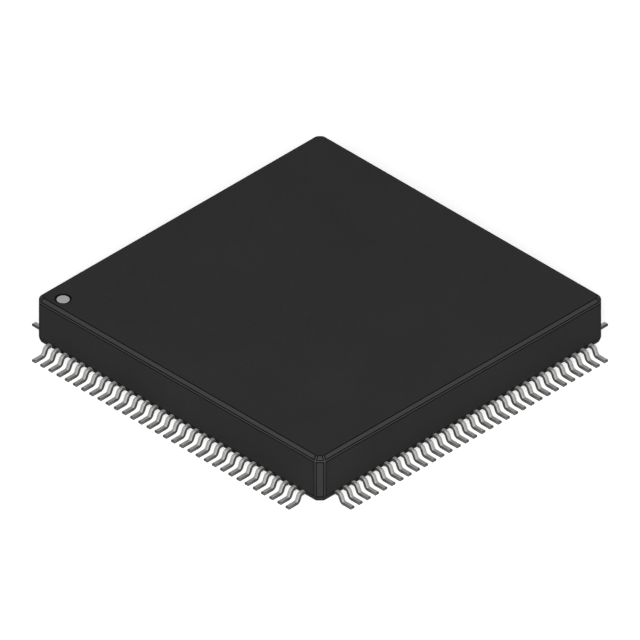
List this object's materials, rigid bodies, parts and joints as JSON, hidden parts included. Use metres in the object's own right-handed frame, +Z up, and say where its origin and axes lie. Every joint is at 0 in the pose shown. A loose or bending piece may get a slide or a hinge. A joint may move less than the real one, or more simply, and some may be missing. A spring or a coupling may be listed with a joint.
{
  "type": "integrated circuit",
  "caption": "Square black moulded chip package with gull-wing leads on all four sides and a pin 1 mark at one corner, for surface mounting.",
  "frame": {"origin": "centre of the seating plane, level with the undersides of the lead feet", "axes": "+Z up out of the top face; pin 1 is at the corner between the -X side and the +Y side, and pins run down the -X side first"},
  "size_m": [0.0312, 0.0312, 0.0041],
  "materials": {
    "epoxy_moulding_compound": "fine matte, as moulded",
    "marking_ink": "matte printed ink",
    "tin_plated_copper_alloy": "satin matte tin plating",
    "bare_copper_alloy": "rolled strip",
    "silver_filled_adhesive": "cured paste",
    "silicon": "polished wafer",
    "gold_wire": "drawn wire, bright"
  },
  "bodies": {
    "root": {"package_body": "epoxy_moulding_compound", "pin_one_mark": "marking_ink", "die_paddle": "bare_copper_alloy", "die_adhesive": "silver_filled_adhesive", "silicon_die": "silicon", "leads_001_to_008": "tin_plated_copper_alloy", "leads_009_to_016": "tin_plated_copper_alloy", "leads_017_to_024": "tin_plated_copper_alloy", "leads_025_to_032": "tin_plated_copper_alloy", "leads_033_to_040": "tin_plated_copper_alloy", "leads_041_to_048": "tin_plated_copper_alloy", "leads_049_to_056": "tin_plated_copper_alloy", "leads_057_to_064": "tin_plated_copper_alloy", "leads_065_to_072": "tin_plated_copper_alloy", "leads_073_to_080": "tin_plated_copper_alloy", "leads_081_to_088": "tin_plated_copper_alloy", "leads_089_to_096": "tin_plated_copper_alloy", "leads_097_to_104": "tin_plated_copper_alloy", "leads_105_to_112": "tin_plated_copper_alloy", "leads_113_to_120": "tin_plated_copper_alloy", "leads_121_to_128": "tin_plated_copper_alloy"}
  },
  "joints": []
}
